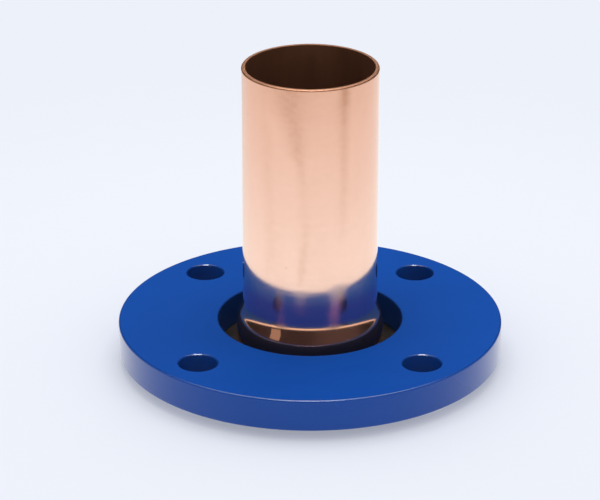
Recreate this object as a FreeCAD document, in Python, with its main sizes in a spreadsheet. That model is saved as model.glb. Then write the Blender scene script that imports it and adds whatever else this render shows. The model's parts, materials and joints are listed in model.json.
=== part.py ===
"""Flange adaptor: a copper tail with a belled end, a bronze lap collar and a loose steel flange.

The sealing face of the lap collar lies on z = 0, with its centre at the origin, and the tail
rises along +Z. All lengths are in millimetres.
"""
import FreeCAD, Part
import math
import os
import Sketcher

# Driving sizes: the flange is the DN 80 class 150 loose pattern, the tail is 2 5/8 inch tube
SIZES = {
    # Copper tail: drawn tube, expanded at its lower end into a bell
    "tube_outer_diameter": 66.68,
    "tube_wall": 2.03,
    "bell_expansion": 3.0,
    "bell_depth": 13.1,
    "shoulder_height": 14.0,
    "straight_length": 120.9,
    "cut_edge_break": 0.3,
    # Lap collar: turned ring whose spigot is brazed into the bell
    "lap_thickness": 5.0,
    "lap_bearing_width": 17.8,
    "lap_edge_chamfer": 1.0,
    "braze_clearance": 0.1,
    "spigot_end_gap": 1.4,
    "spigot_lead_in": 0.6,
    "collar_bore_chamfer": 0.5,
    "seal_groove_count": 3,
    "seal_groove_pitch": 4.0,
    "seal_groove_depth": 0.5,
    "seal_groove_inset": 7.0,
    # Backing flange: loose ring that pulls the lap against the mating flange
    "flange_thickness": 16.0,
    "flange_bore_clearance": 9.36,
    "flange_edge_chamfer": 1.0,
    "bolt_hole_count": 4,
    "bolt_hole_diameter": 19.05,
    "bolt_hole_chamfer": 0.8,
    "bolt_to_lap_gap": 3.17,
    "bolt_to_rim_width": 9.53,
    "first_bolt_angle": 45.0,
}

# Sizes that follow from the driving ones, as expressions on the sheet
TUBE_RADIUS = "sizes.tube_outer_diameter / 2"
BORE_RADIUS = f"({TUBE_RADIUS} - sizes.tube_wall)"
BELL_RADIUS = f"({TUBE_RADIUS} + sizes.bell_expansion)"
SPIGOT_RADIUS = f"({BELL_RADIUS} - sizes.tube_wall - sizes.braze_clearance)"
SHOULDER_FOOT = "(sizes.lap_thickness + sizes.bell_depth)"
SHOULDER_TOP = f"({SHOULDER_FOOT} + sizes.shoulder_height)"
TAIL_TOP = f"({SHOULDER_TOP} + sizes.straight_length)"
SPIGOT_TOP = f"({SHOULDER_FOOT} - sizes.spigot_end_gap)"
FLANGE_BORE_RADIUS = f"({BELL_RADIUS} + sizes.flange_bore_clearance)"
LAP_RADIUS = f"({FLANGE_BORE_RADIUS} + sizes.lap_bearing_width)"
BOLT_CIRCLE_RADIUS = f"({LAP_RADIUS} + sizes.bolt_to_lap_gap + sizes.bolt_hole_diameter / 2)"
RIM_RADIUS = f"({BOLT_CIRCLE_RADIUS} + sizes.bolt_hole_diameter / 2 + sizes.bolt_to_rim_width)"

# Sketch geometry ids and vertex numbers
SKETCH_ORIGIN = (-1, 1)
START = 1
END = 2
CENTRE = 3

FULL_TURN = 360.0
MATCH = 1e-4

doc = FreeCAD.newDocument("flange_adaptor")


def make_sheet():
    """Spreadsheet with one named cell for each driving size."""
    sheet = doc.addObject("Spreadsheet::Sheet", "sizes")
    for row, (name, value) in enumerate(SIZES.items(), start=1):
        sheet.set(f"A{row}", name)
        sheet.set(f"B{row}", str(value))
        sheet.setAlias(f"B{row}", name)
    doc.recompute()
    return sheet


def worked_out(expression):
    """Value of one of the expressions above, for a sketch's first, rough points."""
    return float(sheet.evalExpression(expression.replace("sizes.", "")))


def make_body(label):
    """Empty body with the given label."""
    body = doc.addObject("PartDesign::Body", label)
    body.Label = label
    return body


def origin_plane(body, role):
    """One of the body's own origin planes."""
    return next(item for item in body.Origin.OriginFeatures if item.Role == role)


def new_sketch(body, name, role, lift=None):
    """Sketch on an origin plane of the body, lifted along the plane's normal by an expression."""
    sketch = body.newObject("Sketcher::SketchObject", name)
    sketch.AttachmentSupport = [(origin_plane(body, role), "")]
    sketch.MapMode = "FlatFace"
    if lift:
        sketch.setExpression("AttachmentOffset.Base.z", lift)
    return sketch


def bind(sketch, kind, elements, expression):
    """Dimension in a sketch that follows an expression."""
    index = sketch.addConstraint(Sketcher.Constraint(kind, *elements, worked_out(expression)))
    sketch.setExpression(f"Constraints[{index}]", expression)


def from_axis(sketch, element, vertex, radius):
    """Distance of a vertex from the axis of revolution."""
    bind(sketch, "DistanceX", (*SKETCH_ORIGIN, element, vertex), radius)


def from_face(sketch, element, vertex, height):
    """Height of a vertex above the sealing face."""
    bind(sketch, "DistanceY", (*SKETCH_ORIGIN, element, vertex), height)


def line(sketch, start, end):
    """Straight line between two rough points, given as (radius, height)."""
    segment = Part.LineSegment(FreeCAD.Vector(*start), FreeCAD.Vector(*end))
    return sketch.addGeometry(segment, False)


def arc(sketch, centre, radius, first, last):
    """Arc, counterclockwise between two angles in radians."""
    circle = Part.Circle(FreeCAD.Vector(*centre), FreeCAD.Vector(0, 0, 1), radius)
    return sketch.addGeometry(Part.ArcOfCircle(circle, first, last), False)


def join(sketch, kind, *ends):
    """Constraint of the given kind between vertices or edges."""
    sketch.addConstraint(Sketcher.Constraint(kind, *ends))


def revolve(body, sketch, name, kind="PartDesign::Revolution"):
    """Turn a profile once around the sketch's vertical axis."""
    feature = body.newObject(kind, name)
    feature.Profile = sketch
    feature.ReferenceAxis = (sketch, ["V_Axis"])
    feature.Angle = FULL_TURN
    doc.recompute()
    return feature


def round_edges(shape, radius, heights):
    """Names of the full circles of one radius at the given heights."""
    names = []
    for number, edge in enumerate(shape.Edges, start=1):
        circle = edge.Curve
        if circle.TypeId != "Part::GeomCircle" or len(edge.Vertexes) != 1:
            continue
        at_height = any(abs(circle.Center.z - height) < MATCH for height in heights)
        if at_height and abs(circle.Radius - radius) < MATCH:
            names.append(f"Edge{number}")
    return names


def break_edges(body, name, radius, heights, amount):
    """Chamfer of a named amount on the circles of one radius, at each of the heights."""
    base = body.Tip
    levels = [worked_out(height) for height in heights]
    chamfer = body.newObject("PartDesign::Chamfer", name)
    chamfer.Base = (base, round_edges(base.Shape, worked_out(radius), levels))
    chamfer.setExpression("Size", amount)
    doc.recompute()


def make_copper_tail():
    """Drawn copper tube, its lower end expanded through a double-curved shoulder into a bell."""
    body = make_body("copper_tail")
    profile = new_sketch(body, "TailProfile", "XZ_Plane")

    tube_out = worked_out(TUBE_RADIUS)
    tube_in = worked_out(BORE_RADIUS)
    bell_out = worked_out(BELL_RADIUS)
    wall = SIZES["tube_wall"]
    edge_break = SIZES["cut_edge_break"]
    mouth = SIZES["lap_thickness"]
    foot = worked_out(SHOULDER_FOOT)
    neck = worked_out(SHOULDER_TOP)
    top = worked_out(TAIL_TOP)
    growth = bell_out - tube_out
    rise = neck - foot
    # Two equal arcs that meet halfway turn the wall out and back to the vertical
    bend = (growth ** 2 + rise ** 2) / (4 * growth)
    tilt = 2 * math.atan(growth / rise)
    low_centre = (bell_out - bend, foot)
    high_centre = (tube_out + bend, neck)

    mouth_face = line(profile, (bell_out - wall, mouth), (bell_out, mouth))
    bell_outside = line(profile, (bell_out, mouth), (bell_out, foot))
    low_outside = arc(profile, low_centre, bend, 0, tilt)
    high_outside = arc(profile, high_centre, bend, math.pi, math.pi + tilt)
    tube_outside = line(profile, (tube_out, neck), (tube_out, top - edge_break))
    outer_break = line(profile, (tube_out, top - edge_break), (tube_out - edge_break, top))
    cut_face = line(profile, (tube_out - edge_break, top), (tube_in + edge_break, top))
    inner_break = line(profile, (tube_in + edge_break, top), (tube_in, top - edge_break))
    tube_inside = line(profile, (tube_in, top - edge_break), (tube_in, neck))
    high_inside = arc(profile, high_centre, bend + wall, math.pi, math.pi + tilt)
    low_inside = arc(profile, low_centre, bend - wall, 0, tilt)
    bell_inside = line(profile, (bell_out - wall, foot), (bell_out - wall, mouth))

    # Corners that stay sharp
    for first, second in ((mouth_face, bell_outside), (tube_outside, outer_break),
                          (outer_break, cut_face), (cut_face, inner_break),
                          (inner_break, tube_inside), (bell_inside, mouth_face)):
        join(profile, "Coincident", first, END, second, START)
    # Smooth run of the outer and the inner wall
    join(profile, "Tangent", bell_outside, END, low_outside, START)
    join(profile, "Tangent", low_outside, END, high_outside, END)
    join(profile, "Tangent", high_outside, START, tube_outside, START)
    join(profile, "Tangent", tube_inside, END, high_inside, START)
    join(profile, "Tangent", high_inside, END, low_inside, END)
    join(profile, "Tangent", low_inside, START, bell_inside, START)
    # The wall keeps its thickness through both bends
    join(profile, "Coincident", low_outside, CENTRE, low_inside, CENTRE)
    join(profile, "Coincident", high_outside, CENTRE, high_inside, CENTRE)
    join(profile, "Equal", low_outside, high_outside)
    for level in (mouth_face, cut_face):
        join(profile, "Horizontal", level)
    for upright in (bell_outside, tube_outside, tube_inside, bell_inside):
        join(profile, "Vertical", upright)

    from_face(profile, mouth_face, START, "sizes.lap_thickness")
    from_face(profile, bell_outside, END, SHOULDER_FOOT)
    from_face(profile, tube_outside, START, SHOULDER_TOP)
    from_face(profile, cut_face, START, TAIL_TOP)
    from_axis(profile, bell_outside, START, BELL_RADIUS)
    from_axis(profile, tube_outside, START, TUBE_RADIUS)
    from_axis(profile, tube_inside, START, BORE_RADIUS)
    bind(profile, "DistanceX", (outer_break, END, outer_break, START), "sizes.cut_edge_break")
    bind(profile, "DistanceY", (outer_break, START, outer_break, END), "sizes.cut_edge_break")
    bind(profile, "DistanceX", (inner_break, END, inner_break, START), "sizes.cut_edge_break")
    bind(profile, "DistanceY", (inner_break, END, inner_break, START), "sizes.cut_edge_break")

    revolve(body, profile, "TailWall")
    return body


def make_lap_collar():
    """Turned collar: a lap behind the flange, a spigot for the bell and a grooved sealing face."""
    body = make_body("lap_collar")
    profile = new_sketch(body, "CollarProfile", "XZ_Plane")

    bore = worked_out(BORE_RADIUS)
    spigot = worked_out(SPIGOT_RADIUS)
    lap = worked_out(LAP_RADIUS)
    shelf = SIZES["lap_thickness"]
    top = worked_out(SPIGOT_TOP)

    corners = [(bore, 0), (lap, 0), (lap, shelf), (spigot, shelf), (spigot, top), (bore, top)]
    sides = [line(profile, start, end) for start, end in zip(corners, corners[1:] + corners[:1])]
    for first, second in zip(sides, sides[1:] + sides[:1]):
        join(profile, "Coincident", first, END, second, START)
    sealing_face, lap_rim, lap_shelf, spigot_outside, spigot_end, collar_bore = sides
    for level in (sealing_face, lap_shelf, spigot_end):
        join(profile, "Horizontal", level)
    for upright in (lap_rim, spigot_outside, collar_bore):
        join(profile, "Vertical", upright)
    join(profile, "PointOnObject", sealing_face, START, SKETCH_ORIGIN[0])
    from_axis(profile, collar_bore, START, BORE_RADIUS)
    from_axis(profile, lap_rim, START, LAP_RADIUS)
    from_axis(profile, spigot_outside, START, SPIGOT_RADIUS)
    from_face(profile, lap_shelf, START, "sizes.lap_thickness")
    from_face(profile, spigot_end, START, SPIGOT_TOP)
    revolve(body, profile, "CollarSolid")

    break_edges(body, "LapEdges", LAP_RADIUS, ("0", "sizes.lap_thickness"), "sizes.lap_edge_chamfer")
    break_edges(body, "SpigotLeadIn", SPIGOT_RADIUS, (SPIGOT_TOP,), "sizes.spigot_lead_in")
    break_edges(body, "BoreMouth", BORE_RADIUS, ("0",), "sizes.collar_bore_chamfer")
    cut_seal_grooves(body)
    return body


def cut_seal_grooves(body):
    """Concentric V grooves, square at the tip, that grip the gasket."""
    grooves = new_sketch(body, "SealGrooves", "XZ_Plane")
    depth = SIZES["seal_groove_depth"]
    for ring in range(SIZES["seal_groove_count"]):
        inset = f"(sizes.seal_groove_inset + {ring} * sizes.seal_groove_pitch)"
        tip_radius = f"({LAP_RADIUS} - {inset})"
        tip = worked_out(tip_radius)
        mouth = line(grooves, (tip - depth, 0), (tip + depth, 0))
        outer_flank = line(grooves, (tip + depth, 0), (tip, depth))
        inner_flank = line(grooves, (tip, depth), (tip - depth, 0))
        join(grooves, "Coincident", mouth, END, outer_flank, START)
        join(grooves, "Coincident", outer_flank, END, inner_flank, START)
        join(grooves, "Coincident", inner_flank, END, mouth, START)
        join(grooves, "PointOnObject", mouth, START, SKETCH_ORIGIN[0])
        join(grooves, "PointOnObject", mouth, END, SKETCH_ORIGIN[0])
        from_axis(grooves, outer_flank, END, tip_radius)
        from_face(grooves, outer_flank, END, "sizes.seal_groove_depth")
        bind(grooves, "DistanceX", (outer_flank, END, outer_flank, START), "sizes.seal_groove_depth")
        bind(grooves, "DistanceX", (inner_flank, END, outer_flank, END), "sizes.seal_groove_depth")
    uncut = body.Tip.Shape.Volume
    cut = revolve(body, grooves, "SealGrooveCut", "PartDesign::Groove")
    if cut.Shape.Volume >= uncut:
        raise RuntimeError("the sealing face kept its volume")


def make_backing_flange():
    """Loose flat ring with bolt holes on one circle and all edges broken."""
    body = make_body("backing_flange")
    underside = "sizes.lap_thickness"
    topside = "(sizes.lap_thickness + sizes.flange_thickness)"

    outline = new_sketch(body, "FlangeOutline", "XY_Plane", lift=underside)
    for radius in (RIM_RADIUS, FLANGE_BORE_RADIUS):
        circle = Part.Circle(FreeCAD.Vector(), FreeCAD.Vector(0, 0, 1), worked_out(radius))
        ring = outline.addGeometry(circle, False)
        join(outline, "Coincident", ring, CENTRE, *SKETCH_ORIGIN)
        bind(outline, "Radius", (ring,), radius)
    plate = body.newObject("PartDesign::Pad", "FlangePlate")
    plate.Profile = outline
    plate.setExpression("Length", "sizes.flange_thickness")
    doc.recompute()

    hole_sketch = new_sketch(body, "BoltHole", "XY_Plane", lift=topside)
    angle = math.radians(SIZES["first_bolt_angle"])
    reach = worked_out(BOLT_CIRCLE_RADIUS)
    hole_centre = FreeCAD.Vector(reach * math.cos(angle), reach * math.sin(angle), 0)
    hole_radius = SIZES["bolt_hole_diameter"] / 2
    hole = hole_sketch.addGeometry(Part.Circle(hole_centre, FreeCAD.Vector(0, 0, 1), hole_radius), False)
    across = f"{BOLT_CIRCLE_RADIUS} * cos(sizes.first_bolt_angle * 1 deg)"
    along = f"{BOLT_CIRCLE_RADIUS} * sin(sizes.first_bolt_angle * 1 deg)"
    bind(hole_sketch, "DistanceX", (*SKETCH_ORIGIN, hole, CENTRE), across)
    bind(hole_sketch, "DistanceY", (*SKETCH_ORIGIN, hole, CENTRE), along)
    bind(hole_sketch, "Radius", (hole,), "sizes.bolt_hole_diameter / 2")
    drilled = body.newObject("PartDesign::Pocket", "BoltHoleCut")
    drilled.Profile = hole_sketch
    drilled.Type = "ThroughAll"
    doc.recompute()

    pattern = body.newObject("PartDesign::PolarPattern", "BoltCircle")
    pattern.Originals = [drilled]
    pattern.Axis = (hole_sketch, ["N_Axis"])
    pattern.Angle = FULL_TURN
    pattern.setExpression("Occurrences", "sizes.bolt_hole_count")
    body.Tip = pattern
    doc.recompute()

    both_faces = (underside, topside)
    break_edges(body, "RimEdges", RIM_RADIUS, both_faces, "sizes.flange_edge_chamfer")
    break_edges(body, "BoreEdges", FLANGE_BORE_RADIUS, both_faces, "sizes.flange_edge_chamfer")
    break_edges(body, "BoltHoleEdges", "sizes.bolt_hole_diameter / 2", both_faces,
                "sizes.bolt_hole_chamfer")
    return body


def check_document(bodies):
    """Stop if an object failed, a sketch is loose or a body isn't one valid solid."""
    doc.recompute()
    for item in doc.Objects:
        if any(state in ("Invalid", "Error") for state in item.State):
            raise RuntimeError(f"{item.Name} failed: {item.State}")
        if item.TypeId == "Sketcher::SketchObject" and not item.FullyConstrained:
            raise RuntimeError(f"{item.Name} isn't fully constrained")
    for body in bodies:
        shape = body.Shape
        if shape.isNull() or not shape.isValid() or len(shape.Solids) != 1:
            raise RuntimeError(f"{body.Label} isn't one valid solid")


def export(bodies):
    """Write one STEP file for each piece, named after it."""
    os.makedirs("parts", exist_ok=True)
    for body in bodies:
        body.Shape.exportStep(f"parts/{body.Label}.step")
        box = body.Shape.optimalBoundingBox()
        print(f"{body.Label}: volume {body.Shape.Volume:.0f}, radius {box.XMax:.3f}, "
              f"z {box.ZMin:.3f} to {box.ZMax:.3f}")


sheet = make_sheet()
pieces = [make_copper_tail(), make_lap_collar(), make_backing_flange()]
check_document(pieces)
export(pieces)
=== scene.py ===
"""Looks of the flange adaptor: copper tail, bronze lap collar and blue coated loose flange.

Lengths are in metres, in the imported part's own frame: the sealing face lies on z = 0 and the tail
rises along +Z.
"""
import json
import math

import bmesh
import bpy
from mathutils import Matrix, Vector


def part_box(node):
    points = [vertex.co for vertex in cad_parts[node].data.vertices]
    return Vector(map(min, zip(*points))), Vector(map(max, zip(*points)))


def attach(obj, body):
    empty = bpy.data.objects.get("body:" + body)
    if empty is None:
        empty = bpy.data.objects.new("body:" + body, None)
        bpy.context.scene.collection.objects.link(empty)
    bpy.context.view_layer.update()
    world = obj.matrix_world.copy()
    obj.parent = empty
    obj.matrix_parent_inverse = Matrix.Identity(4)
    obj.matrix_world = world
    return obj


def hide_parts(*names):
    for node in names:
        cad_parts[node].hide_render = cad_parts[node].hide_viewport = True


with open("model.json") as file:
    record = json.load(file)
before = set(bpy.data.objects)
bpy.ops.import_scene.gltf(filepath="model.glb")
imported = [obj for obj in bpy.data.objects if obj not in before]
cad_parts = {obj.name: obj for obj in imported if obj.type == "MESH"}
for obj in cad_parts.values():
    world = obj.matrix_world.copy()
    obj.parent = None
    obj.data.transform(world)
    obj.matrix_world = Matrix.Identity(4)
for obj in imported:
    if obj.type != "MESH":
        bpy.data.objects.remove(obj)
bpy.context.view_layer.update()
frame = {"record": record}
MM = 0.001

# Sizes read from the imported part
MOUNTS = {mount["name"]: mount["dims"] for mount in frame["record"]["mounts"]}
TAIL_LOW, TAIL_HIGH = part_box("copper_tail")
COLLAR_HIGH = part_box("lap_collar")[1]
FLANGE_LOW, FLANGE_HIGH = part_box("backing_flange")
TUBE_RADIUS = MOUNTS["tail_end"]["r_mm"] * MM
BELL_RADIUS = TAIL_HIGH.x
LAP_RADIUS = COLLAR_HIGH.x
RIM_RADIUS = FLANGE_HIGH.x
LAP_TOP = TAIL_LOW.z
FLANGE_BOTTOM = FLANGE_LOW.z
FLANGE_TOP = FLANGE_HIGH.z
TAIL_TOP = TAIL_HIGH.z
SPIGOT_TOP = COLLAR_HIGH.z
BOLT_CIRCLE_RADIUS = MOUNTS["flange_bolts"]["pcd_mm"] * MM / 2
BOLT_HOLE_RADIUS = MOUNTS["flange_bolts"]["hole_r_mm"] * MM
BOLT_COUNT = MOUNTS["flange_bolts"]["count"]

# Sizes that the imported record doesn't hold
TUBE_WALL = 2.03 * MM
BORE_RADIUS = TUBE_RADIUS - TUBE_WALL
SHOULDER_FOOT = 18.1 * MM
SHOULDER_TOP = 32.1 * MM
BRAZE_CLEARANCE = 0.1 * MM
SPIGOT_RADIUS = BELL_RADIUS - TUBE_WALL - BRAZE_CLEARANCE
FLANGE_BORE_RADIUS = 45.7 * MM
FIRST_BOLT_ANGLE = math.radians(45)
GROOVE_COUNT = 3
GROOVE_PITCH = 4.0 * MM
GROOVE_DEPTH = 0.5 * MM
GROOVE_INSET = 7.0 * MM

# Edge roundings
CUT_EDGE_OUTSIDE = 0.7 * MM
CUT_EDGE_INSIDE = 0.3 * MM
MOUTH_EDGE = 0.2 * MM
LAP_EDGE = 0.9 * MM
SPIGOT_EDGE = 0.5 * MM
RIM_EDGE = 0.9 * MM
BORE_EDGE = 0.62 * MM
HOLE_CHAMFER = 0.45 * MM
HOLE_EDGE = 0.22 * MM

# Mesh fineness, and helper points beside a rounding and far from it
TURN_STEPS = 256
HOLE_STEPS = 96
CORNER_STEPS = 5
SHOULDER_STEPS = 24
GUARD = 0.15 * MM
FAR_OFF = 1.0

# Material numbers, and what counts as the tail's sawn end and as a flat face of the flange
OUTSIDE, SAWN_END, BORE = range(3)
FACE, RIM, EDGE, WALL = range(4)
SAWN_END_DEPTH = 1.3 * CUT_EDGE_OUTSIDE
SAWN_END_TILT = 0.95
FACE_DEPTH = 0.01 * MM

# Camera, fitted to the photograph's ellipses
CAMERA_DISTANCE = 1466.7 * MM
CAMERA_ELEVATION = math.radians(24.72)
CAMERA_TARGET = Vector((-5.0, 0, 56.9)) * MM
CAMERA_LENS_MM = 176.6
SENSOR_MM = 36.0

# Colours, as linear light; tones are given as (dark, light)
BLUE = (0.003, 0.074, 0.402)
COAT_TONE_SHARES = (0.94, 1.04)
COPPER_CLEAN = (0.965, 0.635, 0.495)
# Duller copper for the top of the tube: partly tarnish, partly painted shade that stands in for the
# dimmer reflection there
COPPER_TARNISH_AND_SHADE = (0.815, 0.44, 0.305)
COPPER_BELL = (0.97, 0.455, 0.25)
COPPER_FLUSHED = (0.97, 0.335, 0.42)
# Tint for the copper's darker tones and dark streaks, including the painted shade on the left edge
COPPER_DARK_TINT = (0.76, 0.66, 0.56)
COPPER_SPECK = (0.35, 0.25, 0.20)
CUT_TONES = ((0.70, 0.34, 0.20), (0.88, 0.48, 0.31))
OXIDE_TONES = ((0.15, 0.058, 0.028), (0.22, 0.088, 0.043))
# Bronze tones darker than clean bronze: painted shade for the dark gap under the flange
BRONZE_SHADED_TONES = ((0.19, 0.15, 0.12), (0.33, 0.27, 0.21))
TONE_STOPS = (0.3, 0.7)

# Heights at which the copper's colour changes
COPPER_BELL_HEIGHT = 29.5 * MM
COPPER_BELL_END = 31.5 * MM
COPPER_FLUSHED_HEIGHT = 38 * MM
COPPER_CLEAN_HEIGHT = 48 * MM

# Gloss; the haze is a second, wider shine, and a pair is (lowest, highest)
COPPER_METALLIC = 0.985
COPPER_ROUGHNESS = 0.058
COPPER_ANISOTROPY = 0.9
BLUR_ALONG_TUBE = 0.25
SCRATCH_ROUGHNESS = 0.03
SCRATCH_FROM = 0.50
SCRATCH_ALL = 0.72
SCUFF_ROUGHNESS = 0.20
HAZE_ROUGHNESS = 0.19
HAZE_IOR = 3.0
HAZE_WEIGHT = 0.42
CUT_ROUGHNESS = (0.42, 0.58)
OXIDE_METALLIC = 0.6
OXIDE_ROUGHNESS = (0.45, 0.65)
BRONZE_METALLIC = 0.9
BRONZE_ROUGHNESS = (0.38, 0.5)
COAT_ROUGHNESS_SHARES = (0.9, 1.1)
BLOOM_ROUGHNESS = 0.41

# Noise patterns, as (factors for X, Y and Z, scale, detail, roughness)
WANDER_NOISE = ((1.0, 1.0, 0.3), 90.0, 3.0, 0.6)
MOTTLE_NOISE = ((1.0, 1.0, 1.6), 260.0, 3.0, 0.6)
STREAK_NOISE = ((1.0, 1.0, 0.06), 70.0, 4.0, 0.6)
CLOUD_NOISE = ((1.0, 1.0, 0.5), 45.0, 3.0, 0.55)
MARK_NOISE = ((1.0, 1.0, 40.0), 45.0, 3.0, 0.6)
CUT_NOISE = ((1.0, 1.0, 1.0), 900.0, 2.0, 0.5)
OXIDE_NOISE = ((1.0, 1.0, 0.3), 60.0, 4.0, 0.6)
BRONZE_NOISE = ((1.0, 1.0, 1.0), 70.0, 3.0, 0.5)
COAT_NOISE = ((1.0, 1.0, 1.0), 14.0, 3.0, 0.5)
PEEL_NOISE = ((1.0, 1.0, 1.0), 420.0, 2.0, 0.5)
DRILL_NOISE = ((0.15, 0.15, 1.0), 1500.0, 1.0, 0.5)
TOOL_MARKS_PER_METRE = 2200.0
SPECKS_PER_METRE = 70.0
SPECK_SIZE = 0.03

# How far the patterns go: shares of a colour, radians round the tube, and depths of relief
STREAK_DEPTH = 0.18
CLOUD_DEPTH = 0.17
MARK_DEPTH = 0.07
MOTTLE_DEPTH = 0.10
DARK_STREAK_MOTTLE = (0.5, 1.5)
SPECK_DEPTH = 0.8
WANDER = 0.05
MARK_BUMP = 0.0005 * MM
CUT_BUMP = 0.01 * MM
TOOL_BUMP = 0.02 * MM
PEEL_BUMP = 0.004 * MM
DRILL_BUMP = 0.03 * MM

# Marks along the tube, as (height, turn from the front in radians, half width, strength): dark streaks,
# one of which is painted shade, then scuffs that raise the roughness
DARK_STREAKS_AND_SHADE = [
    [(153 * MM, -0.31, 0.27, 0.75), (143 * MM, -0.29, 0.24, 0.66), (134 * MM, -0.23, 0.15, 0.68),
     (121 * MM, -0.19, 0.12, 0.55), (112 * MM, -0.15, 0.07, 0.38), (95 * MM, -0.11, 0.09, 0.15),
     (78 * MM, -0.08, 0.07, 0.22), (62 * MM, -0.12, 0.07, 0.40), (51 * MM, -0.16, 0.05, 0.0)],
    [(153 * MM, 0.51, 0.09, 1.05), (147 * MM, 0.51, 0.08, 1.25), (141 * MM, 0.50, 0.08, 0.75),
     (130 * MM, 0.50, 0.08, 0.55), (112 * MM, 0.49, 0.08, 0.35), (95 * MM, 0.49, 0.09, 0.30),
     (72 * MM, 0.49, 0.10, 0.0)],
    # Painted shade: this streak dims the bright grazing reflection on the tube's left edge
    [(153 * MM, -1.42, 0.14, 1.20), (100 * MM, -1.42, 0.14, 0.80), (62 * MM, -1.42, 0.14, 0.60),
     (50 * MM, -1.42, 0.14, 0.0)],
    [(153 * MM, 2.10, 0.16, 0.60), (140 * MM, 2.14, 0.12, 0.50), (104 * MM, 2.20, 0.08, 0.35),
     (58 * MM, 2.16, 0.07, 0.0)],
    [(153 * MM, -2.55, 0.09, 0.90), (138 * MM, -2.52, 0.08, 0.60), (92 * MM, -2.48, 0.09, 0.30),
     (64 * MM, -2.50, 0.08, 0.0)],
    [(135 * MM, -0.66, 0.09, 0.0), (105 * MM, -0.65, 0.10, 0.16), (75 * MM, -0.62, 0.10, 0.16),
     (55 * MM, -0.62, 0.10, 0.0)],
]
SCUFFS = [
    [(53 * MM, 0.43, 0.12, 0.0), (47 * MM, 0.42, 0.12, 0.60), (40 * MM, 0.38, 0.11, 0.72),
     (33 * MM, 0.36, 0.11, 0.90), (28.5 * MM, 0.36, 0.11, 0.0)],
    [(49 * MM, -0.46, 0.09, 0.0), (43 * MM, -0.46, 0.09, 0.30), (36 * MM, -0.45, 0.09, 0.45),
     (31 * MM, -0.44, 0.09, 0.65), (28.5 * MM, -0.44, 0.09, 0.0)],
    [(50 * MM, -0.14, 0.11, 0.0), (45 * MM, -0.14, 0.11, 0.24), (41 * MM, -0.15, 0.10, 0.26),
     (35 * MM, -0.15, 0.10, 0.0)],
    [(49 * MM, -0.85, 0.28, 0.0), (43 * MM, -0.85, 0.28, 0.16), (36 * MM, -0.85, 0.28, 0.20),
     (30 * MM, -0.85, 0.28, 0.0)],
    [(49 * MM, 0.90, 0.24, 0.0), (43 * MM, 0.90, 0.24, 0.14), (36 * MM, 0.90, 0.24, 0.10),
     (30 * MM, 0.90, 0.24, 0.0)],
    [(52 * MM, 2.30, 0.12, 0.0), (46 * MM, 2.32, 0.12, 0.50), (34 * MM, 2.36, 0.10, 0.70),
     (28.5 * MM, 2.36, 0.10, 0.0)],
    [(50 * MM, -2.20, 0.09, 0.0), (44 * MM, -2.20, 0.09, 0.40), (35 * MM, -2.18, 0.09, 0.50),
     (28.5 * MM, -2.18, 0.09, 0.0)],
]

# Surroundings; floor and room are given as reflections show them
BACKGROUND = (0.847, 0.879, 0.956)
FLOOR_SIZE = 12.0
FLOOR_PLAIN_SHARE = 0.35
FLOOR_PLAIN_FROM = 0.13
FLOOR_PLAIN_ALL = 0.45
TABLE_REACH = 1.0
TABLE_FADE = 0.5
TABLE_LIGHT = (1.0, 1.0, 1.0)
TABLE_FAR_LIGHT = (0.82, 0.79, 0.70)
TABLE_FAR_FROM = 0.35
TABLE_FAR_ALL = 0.60
ROOM_BEHIND = (0.020, 0.019, 0.018)
ROOM_AHEAD = (0.036, 0.026, 0.030)
ROOM_AHEAD_FROM = 0.3
ROOM_AHEAD_ALL = -0.3
ROOM_GLOW = (0.076, 0.063, 0.070)
GLOW_DIRECTION = (0.77, -0.64, 0.0)
GLOW_FROM = 0.5
GLOW_ALL = 1.0
CEILING = (0.5, 0.5, 0.5)
CEILING_FROM = 0.70
CEILING_ALL = 0.85
AMBIENT = (0.80, 0.80, 0.80)

# Lamps, as (name, place, size, power, colour, whether they light matt surfaces)
LAMP_AIM = Vector((0, 0, 0.02))
WHITE = (1.0, 1.0, 1.0)
WARM_WHITE = (1.0, 0.88, 0.80)
LAMPS = [
    ("key", (0, -0.55, 1.3), (0.7, 0.3), 7.0, WHITE, False),
    ("top", (0, 0.4, 1.35), (1.2, 1.0), 6.5, WHITE, True),
    ("window", (-1.25, -0.85, 0.32), (0.44, 0.48), 0.22, WARM_WHITE, True),
]

# Socket numbers of the node that mixes colours, where several sockets share a name
MIX_SHARE = 0
MIX_COLOURS = (6, 7)
MIX_RESULT = 2


# Meshes

def corner_arc(before, corner, after, radius):
    """Rounded corner of an outline, with a guard point on each side that keeps flat sides flat."""
    back = (before - corner).normalized()
    ahead = (after - corner).normalized()
    half = back.angle(ahead) / 2
    reach = radius / math.tan(half)
    centre = corner + (back + ahead).normalized() * (radius / math.sin(half))
    start = corner + back * reach - centre
    end = corner + ahead * reach - centre
    sweep = start.angle_signed(end)
    points = [corner + back * (reach + GUARD)]
    for step in range(CORNER_STEPS + 1):
        angle = -sweep * step / CORNER_STEPS
        points.append(centre + Vector((start.x * math.cos(angle) - start.y * math.sin(angle),
                                       start.x * math.sin(angle) + start.y * math.cos(angle))))
    points.append(corner + ahead * (reach + GUARD))
    return points


def outline(corners):
    """Closed outline from (radius, height, rounding) corners; a rounding of 0 keeps the point."""
    points = []
    for index, (radius, height, rounding) in enumerate(corners):
        corner = Vector((radius, height))
        if rounding:
            before = Vector(corners[index - 1][:2])
            after = Vector(corners[(index + 1) % len(corners)][:2])
            points += corner_arc(before, corner, after, rounding)
        else:
            points.append(corner)
    return points


def new_object(name, data):
    """Object for a mesh, lamp or camera, in the scene."""
    piece = bpy.data.objects.new(name, data)
    bpy.context.scene.collection.objects.link(piece)
    return piece


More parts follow.
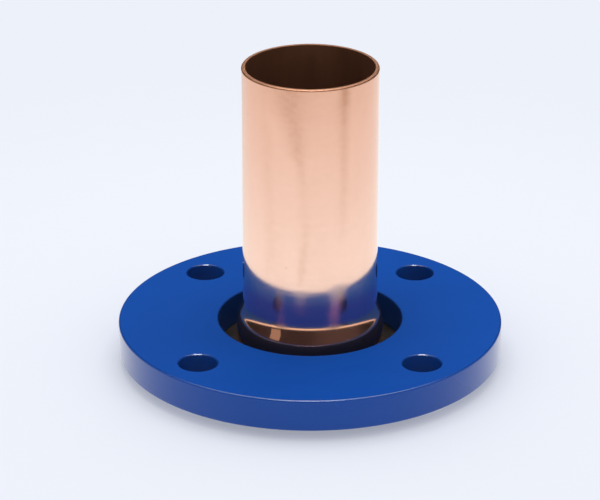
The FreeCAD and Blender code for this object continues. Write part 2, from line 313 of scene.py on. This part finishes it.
def smooth_object(mesh, work):
    """Object for a mesh that takes over the work, with its faces turned outwards and smooth."""
    bmesh.ops.recalc_face_normals(work, faces=work.faces)
    work.to_mesh(mesh)
    work.free()
    mesh.shade_smooth()
    return new_object(mesh.name, mesh)


def turn_angles(steps):
    """Angles of one whole turn in even steps."""
    return [2 * math.pi * step / steps for step in range(steps)]


def lathe(name, points):
    """Closed outline turned once round the Z axis."""
    mesh = bpy.data.meshes.new(name)
    vertices = [(point.x * math.cos(angle), point.x * math.sin(angle), point.y)
                for point in points for angle in turn_angles(TURN_STEPS)]
    faces = []
    for ring in range(len(points)):
        here = ring * TURN_STEPS
        there = (ring + 1) % len(points) * TURN_STEPS
        for step in range(TURN_STEPS):
            following = (step + 1) % TURN_STEPS
            faces.append((here + step, here + following, there + following, there + step))
    mesh.from_pydata(vertices, [], faces)
    work = bmesh.new()
    work.from_mesh(mesh)
    return smooth_object(mesh, work)


def shoulder_run():
    """Points and outward normals of the tail's outer wall, with a guard point at each end."""
    growth = BELL_RADIUS - TUBE_RADIUS
    rise = SHOULDER_TOP - SHOULDER_FOOT
    bend = (growth ** 2 + rise ** 2) / (4 * growth)
    tilt = 2 * math.atan(growth / rise)
    low_centre = Vector((BELL_RADIUS - bend, SHOULDER_FOOT))
    high_centre = Vector((TUBE_RADIUS + bend, SHOULDER_TOP))
    half = SHOULDER_STEPS // 2
    outwards = Vector((1, 0))
    run = [(Vector((BELL_RADIUS, SHOULDER_FOOT - GUARD)), outwards)]
    for step in range(SHOULDER_STEPS + 1):
        angle = tilt * (1 - abs(step - half) / half)
        normal = Vector((math.cos(angle), math.sin(angle)))
        point = low_centre + normal * bend if step <= half else high_centre - normal * bend
        run.append((point, normal))
    run.append((Vector((TUBE_RADIUS, SHOULDER_TOP + GUARD)), outwards))
    return run


def tail_outline():
    """Outline of the tail's wall, which keeps its thickness through the shoulder."""
    run = shoulder_run()
    outer = [(point.x, point.y, 0) for point, normal in run]
    inner = [(*(point - normal * TUBE_WALL), 0) for point, normal in reversed(run)]
    mouth = [(BELL_RADIUS - TUBE_WALL, LAP_TOP, MOUTH_EDGE), (BELL_RADIUS, LAP_TOP, MOUTH_EDGE)]
    cut_end = [(TUBE_RADIUS, TAIL_TOP, CUT_EDGE_OUTSIDE), (BORE_RADIUS, TAIL_TOP, CUT_EDGE_INSIDE)]
    return outline(mouth + outer + cut_end + inner)


def collar_outline():
    """Outline of the lap collar, with the V grooves of its sealing face."""
    grooves = []
    for ring in range(GROOVE_COUNT):
        tip = LAP_RADIUS - GROOVE_INSET - (GROOVE_COUNT - 1 - ring) * GROOVE_PITCH
        grooves += [(tip - GROOVE_DEPTH, 0, 0), (tip, GROOVE_DEPTH, 0), (tip + GROOVE_DEPTH, 0, 0)]
    return outline([
        (BORE_RADIUS, 0, SPIGOT_EDGE),
        *grooves,
        (LAP_RADIUS, 0, LAP_EDGE),
        (LAP_RADIUS, LAP_TOP, LAP_EDGE),
        (SPIGOT_RADIUS, LAP_TOP, 0),
        (SPIGOT_RADIUS, SPIGOT_TOP, SPIGOT_EDGE),
        (BORE_RADIUS, SPIGOT_TOP, SPIGOT_EDGE / 2),
    ])


def bolt_centres():
    """Centres of the bolt holes, as (x, y)."""
    angles = [FIRST_BOLT_ANGLE + angle for angle in turn_angles(BOLT_COUNT)]
    return [Vector((math.cos(angle), math.sin(angle))) * BOLT_CIRCLE_RADIUS for angle in angles]


def edge_band(wall, rounding, inwards):
    """Outline of a wall between the flange's faces, with a rounded edge above and below."""
    face = wall - FAR_OFF if inwards else wall + FAR_OFF
    return outline([
        (face, FLANGE_TOP, 0),
        (wall, FLANGE_TOP, rounding),
        (wall, FLANGE_BOTTOM, rounding),
        (face, FLANGE_BOTTOM, 0),
    ])[1:-1]


def hole_band():
    """Outline of a bolt hole's wall with a chamfer above and below."""
    wide = BOLT_HOLE_RADIUS + HOLE_CHAMFER
    face = wide + FAR_OFF
    return outline([
        (face, FLANGE_TOP, 0),
        (wide, FLANGE_TOP, HOLE_EDGE),
        (BOLT_HOLE_RADIUS, FLANGE_TOP - HOLE_CHAMFER, HOLE_EDGE),
        (BOLT_HOLE_RADIUS, FLANGE_BOTTOM + HOLE_CHAMFER, HOLE_EDGE),
        (wide, FLANGE_BOTTOM, HOLE_EDGE),
        (face, FLANGE_BOTTOM, 0),
    ])[1:-1]


def add_band(work, centre, points, steps):
    """Turn an open outline round a centre; returns the edges of its first and last ring."""
    rings = []
    for point in points:
        rings.append([work.verts.new((centre.x + point.x * math.cos(angle),
                                      centre.y + point.x * math.sin(angle), point.y))
                      for angle in turn_angles(steps)])
    for here, there in zip(rings, rings[1:]):
        for step in range(steps):
            following = (step + 1) % steps
            work.faces.new((here[step], here[following], there[following], there[step]))
    return [[work.edges.get((ring[step], ring[(step + 1) % steps])) for step in range(steps)]
            for ring in (rings[0], rings[-1])]


def flange_ring():
    """Flat ring with bolt holes; rim and bore have rounded edges, the holes chamfered ones."""
    work = bmesh.new()
    middle = Vector((0, 0))
    bands = [
        add_band(work, middle, edge_band(RIM_RADIUS, RIM_EDGE, True), TURN_STEPS),
        add_band(work, middle, edge_band(FLANGE_BORE_RADIUS, BORE_EDGE, False), TURN_STEPS),
    ]
    for centre in bolt_centres():
        bands.append(add_band(work, centre, hole_band(), HOLE_STEPS))
    for side in range(2):
        rings = [edge for band in bands for edge in band[side]]
        bmesh.ops.triangle_fill(work, use_beauty=True, edges=rings)
    return smooth_object(bpy.data.meshes.new("flange_ring"), work)


# Materials

class Shader:
    """Small helper that adds and links the nodes of a new material or world."""

    def __init__(self, block):
        block.use_nodes = True
        self.block = block
        self.nodes = block.node_tree.nodes
        self.links = block.node_tree.links

    def give(self, **values):
        """Values or links for the surface's inputs; an underscore stands for a space."""
        for name, value in values.items():
            self.feed(self.nodes["Principled BSDF"].inputs[name.replace("_", " ")], value)

    def node(self, kind, values=None, **settings):
        """New node with its settings, and its inputs set to values or linked to sockets."""
        node = self.nodes.new(kind)
        for name, value in settings.items():
            setattr(node, name, value)
        for name, value in (values or {}).items():
            self.feed(node.inputs[name], value)
        return node

    def feed(self, socket, value):
        """Link a socket, or set its value."""
        if isinstance(value, bpy.types.NodeSocket):
            self.links.new(value, socket)
        else:
            socket.default_value = value

    def coordinates(self):
        """Object coordinates."""
        return self.node("ShaderNodeTexCoord").outputs["Object"]

    def axes(self, vector):
        """The X, Y and Z parts of a vector."""
        return list(self.node("ShaderNodeSeparateXYZ", {"Vector": vector}).outputs)

    def math(self, operation, first, second):
        """Result of a sum, product or the like."""
        return self.node("ShaderNodeMath", {0: first, 1: second}, operation=operation).outputs[0]

    def measure(self, operation, first, second=(0.0, 0.0, 0.0)):
        """Number that one or two vectors give, such as a length."""
        node = self.node("ShaderNodeVectorMath", {0: first, 1: second}, operation=operation)
        return node.outputs["Value"]

    def mix(self, share, first, second, **settings):
        """Colour between two others."""
        node = self.node("ShaderNodeMix", {MIX_SHARE: share}, data_type="RGBA", **settings)
        for number, colour in zip(MIX_COLOURS, (first, second)):
            linked = isinstance(colour, bpy.types.NodeSocket)
            self.feed(node.inputs[number], colour if linked else (*colour, 1.0))
        return node.outputs[MIX_RESULT]

    def darken(self, colour, share, tint):
        """Colour times a tint, as far as the share says; a share below 0 lightens it."""
        return self.mix(share, colour, tint, blend_type="MULTIPLY", clamp_factor=False)

    def ease(self, value, zero, one):
        """Smooth step from 0 to 1 between two values."""
        node = self.node("ShaderNodeMapRange", {"Value": value, "From Min": zero, "From Max": one},
                         interpolation_type="SMOOTHSTEP")
        return node.outputs["Result"]

    def span(self, value, low, high, start=0.0, end=1.0):
        """Value between a start and an end, mapped to a range."""
        node = self.node("ShaderNodeMapRange", {
            "Value": value, "From Min": start, "From Max": end, "To Min": low, "To Max": high})
        return node.outputs["Result"]

    def follow(self, value, points):
        """Value along a smooth curve through (value, result) points."""
        far = max(point[0] for point in points)
        near = min(point[0] for point in points)
        high = max(point[1] for point in points)
        low = min(point[1] for point in points)
        if high == low:
            return low
        along = self.span(value, 0.0, 1.0, near, far)
        node = self.node("ShaderNodeFloatCurve", {"Value": along})
        curve = node.mapping.curves[0]
        while len(curve.points) < len(points):
            curve.points.new(0.5, 0.5)
        for mark, (place, result) in zip(curve.points, sorted(points)):
            mark.location = ((place - near) / (far - near), (result - low) / (high - low))
        node.mapping.update()
        return self.span(node.outputs["Value"], low, high)

    def noise(self, vector, factors, scale, detail, roughness):
        """Noise between 0 and 1, at coordinates that are scaled along each axis first."""
        scaled = self.node("ShaderNodeMapping", {"Vector": vector, "Scale": factors})
        node = self.node("ShaderNodeTexNoise", {
            "Vector": scaled.outputs["Vector"], "Scale": scale, "Detail": detail,
            "Roughness": roughness})
        return node.outputs["Fac"]

    def tones(self, value, dark, light):
        """Colour that runs from a dark to a light tone between the two tone stops."""
        node = self.node("ShaderNodeValToRGB", {"Fac": value})
        for element, position, colour in zip(node.color_ramp.elements, TONE_STOPS, (dark, light)):
            element.position = position
            element.color = (*colour, 1.0)
        return node.outputs["Color"]

    def bump(self, height, distance, normal=None):
        """Bump of a height field, on top of another if one is given."""
        node = self.node("ShaderNodeBump", {"Height": height, "Distance": distance})
        if normal:
            self.feed(node.inputs["Normal"], normal)
        return node.outputs["Normal"]

    def glow(self, colour):
        """Surface that gives off a colour of its own."""
        return self.node("ShaderNodeEmission", {"Color": colour}).outputs["Emission"]

    def blend(self, share, first, second):
        """Mix of two surfaces."""
        return self.node("ShaderNodeMixShader", {0: share, 1: first, 2: second}).outputs[0]


def new_shader(name):
    """Helper for a new material."""
    return Shader(bpy.data.materials.new(name))


def mark_along(shader, turn, height, track):
    """Soft long mark that follows a track of (height, turn, half width, strength)."""
    middle = shader.follow(height, [(mark[0], mark[1]) for mark in track])
    width = shader.follow(height, [(mark[0], mark[2]) for mark in track])
    strength = shader.follow(height, [(mark[0], mark[3]) for mark in track])
    off = shader.math("DIVIDE", shader.math("SUBTRACT", turn, middle), width)
    bell = shader.math("POWER", math.e, shader.math("MULTIPLY", shader.math("MULTIPLY", off, off), -1.0))
    return shader.math("MULTIPLY", bell, strength)


def strongest(shader, turn, height, tracks):
    """Strongest of several marks at each point."""
    dark = 0.0
    for track in tracks:
        dark = shader.math("MAXIMUM", dark, mark_along(shader, turn, height, track))
    return dark


def copper_by_height(shader, height):
    """Colour of clean copper: warm on the bell, flushed above it, and duller towards the top, partly
    tarnish and partly painted shade for the dimmer reflection up there.
    """
    bell = shader.ease(height, COPPER_BELL_HEIGHT, COPPER_BELL_END)
    clean = shader.ease(height, COPPER_FLUSHED_HEIGHT, COPPER_CLEAN_HEIGHT)
    tarnish_and_shade = shader.ease(height, COPPER_CLEAN_HEIGHT, TAIL_TOP)
    colour = shader.mix(bell, COPPER_BELL, COPPER_FLUSHED)
    colour = shader.mix(clean, colour, COPPER_CLEAN)
    return shader.mix(tarnish_and_shade, colour, COPPER_TARNISH_AND_SHADE)


def streak_and_shade_depth(shader, place, turn, height, mottle):
    """Depth of the long dark streaks, which wander a little and are mottled; the one at turn -1.42 is
    painted shade.
    """
    wander = shader.span(shader.noise(place, *WANDER_NOISE), -WANDER, WANDER)
    streaks_and_shade = strongest(shader, shader.math("ADD", turn, wander), height, DARK_STREAKS_AND_SHADE)
    return shader.math("MULTIPLY", streaks_and_shade, shader.span(mottle, *DARK_STREAK_MOTTLE))


def speck_depth(shader, place):
    """Depth of the few small dark specks."""
    specks = shader.node("ShaderNodeTexVoronoi", {"Vector": place, "Scale": SPECKS_PER_METRE})
    specks = shader.ease(specks.outputs["Distance"], SPECK_SIZE, SPECK_SIZE / 2)
    return shader.math("MULTIPLY", specks, SPECK_DEPTH)


def copper_roughness(shader, turn, height, marks):
    """Roughness of the drawn tube, which scratches and scuffs raise."""
    scratches = shader.ease(marks, SCRATCH_FROM, SCRATCH_ALL)
    scratches = shader.math("MULTIPLY", scratches, SCRATCH_ROUGHNESS)
    scuffs = shader.math("MULTIPLY", strongest(shader, turn, height, SCUFFS), SCUFF_ROUGHNESS)
    return shader.math("ADD", shader.math("ADD", scratches, scuffs), COPPER_ROUGHNESS)


def drawn_copper():
    """Outside of the drawn tube: bright, with long dark streaks (one of them painted shade), fine marks
    round it and a few specks.
    """
    shader = new_shader("drawn_copper")
    place = shader.coordinates()
    across, away, height = shader.axes(place)
    turn = shader.math("ARCTAN2", across, shader.math("MULTIPLY", away, -1.0))
    marks = shader.noise(place, *MARK_NOISE)
    mottle = shader.noise(place, *MOTTLE_NOISE)
    variations = (
        (shader.noise(place, *STREAK_NOISE), STREAK_DEPTH),
        (shader.noise(place, *CLOUD_NOISE), CLOUD_DEPTH),
        (marks, MARK_DEPTH),
        (mottle, MOTTLE_DEPTH),
    )
    colour = copper_by_height(shader, height)
    for pattern, depth in variations:
        colour = shader.darken(colour, shader.span(pattern, -depth, depth), COPPER_DARK_TINT)
    # Long dark streaks; the one on the left edge is painted shade over a bright reflection
    streaks_and_shade = streak_and_shade_depth(shader, place, turn, height, mottle)
    colour = shader.darken(colour, streaks_and_shade, COPPER_DARK_TINT)
    colour = shader.darken(colour, speck_depth(shader, place), COPPER_SPECK)
    around = shader.node("ShaderNodeTangent", direction_type="RADIAL", axis="Z").outputs["Tangent"]
    shader.give(Base_Color=colour, Metallic=COPPER_METALLIC,
                Roughness=copper_roughness(shader, turn, height, marks),
                Anisotropic=COPPER_ANISOTROPY, Anisotropic_Rotation=BLUR_ALONG_TUBE, Tangent=around,
                Coat_Weight=HAZE_WEIGHT, Coat_Roughness=HAZE_ROUGHNESS, Coat_IOR=HAZE_IOR,
                Normal=shader.bump(marks, MARK_BUMP))
    return shader.block


def cut_copper():
    """Sawn and deburred end face of the tube."""
    shader = new_shader("cut_copper")
    grain = shader.noise(shader.coordinates(), *CUT_NOISE)
    shader.give(Base_Color=shader.tones(grain, *CUT_TONES), Metallic=1.0,
                Roughness=shader.span(grain, *CUT_ROUGHNESS), Normal=shader.bump(grain, CUT_BUMP))
    return shader.block


def bore_copper():
    """Inside of the tube: dull brown oxide."""
    shader = new_shader("bore_copper")
    patches = shader.noise(shader.coordinates(), *OXIDE_NOISE)
    shader.give(Base_Color=shader.tones(patches, *OXIDE_TONES), Metallic=OXIDE_METALLIC,
                Roughness=shader.span(patches, *OXIDE_ROUGHNESS))
    return shader.block


def turned_bronze():
    """Turned bronze with fine concentric tool marks; its tones are darker than clean bronze, painted
    shade for the gap under the flange.
    """
    shader = new_shader("turned_bronze")
    place = shader.coordinates()
    across, away, height = shader.axes(place)
    flat = shader.node("ShaderNodeCombineXYZ", {"X": across, "Y": away}).outputs["Vector"]
    run = shader.math("ADD", shader.measure("LENGTH", flat), height)
    run = shader.math("MULTIPLY", run, TOOL_MARKS_PER_METRE)
    marks = shader.node("ShaderNodeTexNoise", {"W": run, "Scale": 1.0}, noise_dimensions="1D")
    patches = shader.noise(place, *BRONZE_NOISE)
    shader.give(Base_Color=shader.tones(patches, *BRONZE_SHADED_TONES), Metallic=BRONZE_METALLIC,
                Roughness=shader.span(patches, *BRONZE_ROUGHNESS),
                Normal=shader.bump(marks.outputs["Fac"], TOOL_BUMP))
    return shader.block


def blue_coat(name, roughness, ior, depth=1.0, bloom=0.0, drilled=False):
    """Blue coating with orange peel; it can have a dusty bloom at grazing angles, or drill marks; a
    depth below 1 darkens the blue as painted shade.
    """
    shader = new_shader(name)
    place = shader.coordinates()
    tone = shader.noise(place, *COAT_NOISE)
    # A depth below 1 darkens the blue: painted shade on the rim's side and in the holes and bore, a
    # painted dark line along the edges
    dark, light = [tuple(share * depth * part for part in BLUE) for share in COAT_TONE_SHARES]
    smoothest, roughest = [share * roughness for share in COAT_ROUGHNESS_SHARES]
    normal = shader.bump(shader.noise(place, *PEEL_NOISE), PEEL_BUMP)
    if drilled:
        normal = shader.bump(shader.noise(place, *DRILL_NOISE), DRILL_BUMP, normal)
    shader.give(Base_Color=shader.tones(tone, dark, light), IOR=ior,
                Roughness=shader.span(tone, smoothest, roughest),
                Sheen_Weight=bloom, Sheen_Roughness=BLOOM_ROUGHNESS, Normal=normal)
    return shader.block


def paint(piece, materials, choose):
    """Put materials on a piece, face by face; choose gives a face's material number."""
    piece.data.materials.clear()
    for material in materials:
        piece.data.materials.append(material)
    for face in piece.data.polygons:
        face.material_index = choose(face)


# Pieces

def add_tail():
    """Copper tail: bright outside, sawn end, oxidised bore."""
    tail = lathe("tail_tube", tail_outline())

    def choose(face):
        """Material number of a face of the tail."""
        outwards = face.center.x * face.normal.x + face.center.y * face.normal.y
        if outwards < 0 and face.normal.z < SAWN_END_TILT:
            return BORE
        return SAWN_END if face.center.z > TAIL_TOP - SAWN_END_DEPTH else OUTSIDE

    paint(tail, [drawn_copper(), cut_copper(), bore_copper()], choose)
    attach(tail, "tail")
    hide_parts("copper_tail")


def add_collar():
    """Bronze lap collar."""
    collar = lathe("collar_ring", collar_outline())
    paint(collar, [turned_bronze()], lambda face: 0)
    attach(collar, "tail")
    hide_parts("lap_collar")


def add_flange():
    """Blue coated loose flange."""
    flange = flange_ring()
    coats = [
        blue_coat("blue_coat_face", roughness=0.6, ior=1.13),
        # Rim, edge and wall coats are the face's blue darkened by depth: painted shade on the rim, a
        # painted dark line along the edges, painted shade on the hole and bore walls
        blue_coat("blue_coat_rim_shaded", roughness=0.27, ior=1.26, depth=0.80, bloom=1.0),
        blue_coat("blue_coat_edge_shaded", roughness=0.18, ior=1.88, depth=0.85),
        blue_coat("blue_coat_wall_shaded", roughness=0.5, ior=1.30, depth=0.60, drilled=True),
    ]

    def choose(face):
        """Material number of a face of the flange; bore and holes have the same wall."""
        level = min(face.center.z - FLANGE_BOTTOM, FLANGE_TOP - face.center.z)
        if level < FACE_DEPTH:
            return FACE
        if level < HOLE_CHAMFER:
            return EDGE
        return RIM if face.center.xy.length > RIM_RADIUS - RIM_EDGE else WALL

    paint(flange, coats, choose)
    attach(flange, "flange")
    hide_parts("backing_flange")


# Stage

def add_floor():
    """Pale floor that keeps the object's shadow; reflections see it as a lit table of finite size."""
    bpy.ops.mesh.primitive_plane_add(size=FLOOR_SIZE)
    floor = bpy.context.object
    floor.name = "floor"
    shader = new_shader("pale_floor")
    reach = shader.measure("LENGTH", shader.coordinates())
    path = shader.node("ShaderNodeLightPath").outputs
    lit = shader.node("ShaderNodeBsdfDiffuse", {"Color": (*BACKGROUND, 1.0)}).outputs["BSDF"]
    plain = shader.glow((*BACKGROUND, 1.0))
    share = shader.ease(reach, FLOOR_PLAIN_FROM, FLOOR_PLAIN_ALL)
    seen = shader.blend(shader.span(share, FLOOR_PLAIN_SHARE, 1.0), lit, plain)
    table = shader.mix(shader.ease(reach, TABLE_FAR_FROM, TABLE_FAR_ALL), TABLE_LIGHT, TABLE_FAR_LIGHT)
    table = shader.mix(shader.ease(reach, TABLE_REACH - TABLE_FADE, TABLE_REACH), table, ROOM_AHEAD)
    look = shader.blend(path["Is Camera Ray"], lit, seen)
    look = shader.blend(path["Is Glossy Ray"], look, shader.glow(table))
    shader.feed(shader.nodes["Material Output"].inputs["Surface"], look)
    floor.data.materials.append(shader.block)


def add_world():
    """Pale surroundings; reflections see a dim room under a lighter ceiling."""
    shader = Shader(bpy.data.worlds.new("studio"))
    bpy.context.scene.world = shader.block
    path = shader.node("ShaderNodeLightPath").outputs
    direction = shader.node("ShaderNodeTexCoord").outputs["Generated"]
    away, up = shader.axes(direction)[1:]
    side = shader.measure("DOT_PRODUCT", direction, GLOW_DIRECTION)
    room = shader.mix(shader.ease(side, GLOW_FROM, GLOW_ALL), ROOM_AHEAD, ROOM_GLOW)
    room = shader.mix(shader.ease(away, ROOM_AHEAD_FROM, ROOM_AHEAD_ALL), ROOM_BEHIND, room)
    room = shader.mix(shader.ease(up, CEILING_FROM, CEILING_ALL), room, CEILING)
    look = shader.mix(path["Is Glossy Ray"], AMBIENT, room)
    look = shader.mix(path["Is Camera Ray"], look, BACKGROUND)
    shader.feed(shader.nodes["Background"].inputs["Color"], look)


def aim(piece, target):
    """Turn a lamp or camera towards a spot."""
    piece.rotation_euler = (target - piece.location).to_track_quat("-Z", "Y").to_euler()


def add_lamp(name, place, size, power, colour, lights_matt):
    """Rectangular lamp that isn't in the picture itself."""
    light = bpy.data.lights.new(name, "AREA")
    light.shape = "RECTANGLE"
    light.size, light.size_y = size
    light.energy = power
    light.color = colour
    lamp = new_object(name, light)
    lamp.location = place
    aim(lamp, LAMP_AIM)
    lamp.visible_camera = False
    lamp.visible_diffuse = lights_matt


def add_camera():
    """Camera at the photograph's viewing angle."""
    camera = bpy.data.cameras.new("camera")
    camera.lens = CAMERA_LENS_MM
    camera.sensor_width = SENSOR_MM
    camera.clip_end = 2 * FLOOR_SIZE
    eye = new_object("camera", camera)
    eye.location = (0, -CAMERA_DISTANCE * math.cos(CAMERA_ELEVATION),
                    CAMERA_DISTANCE * math.sin(CAMERA_ELEVATION) + FLANGE_TOP)
    aim(eye, CAMERA_TARGET)
    bpy.context.scene.camera = eye


add_tail()
add_collar()
add_flange()
add_floor()
add_world()
for lamp_settings in LAMPS:
    add_lamp(*lamp_settings)
add_camera()
bpy.context.scene.view_settings.view_transform = "Standard"
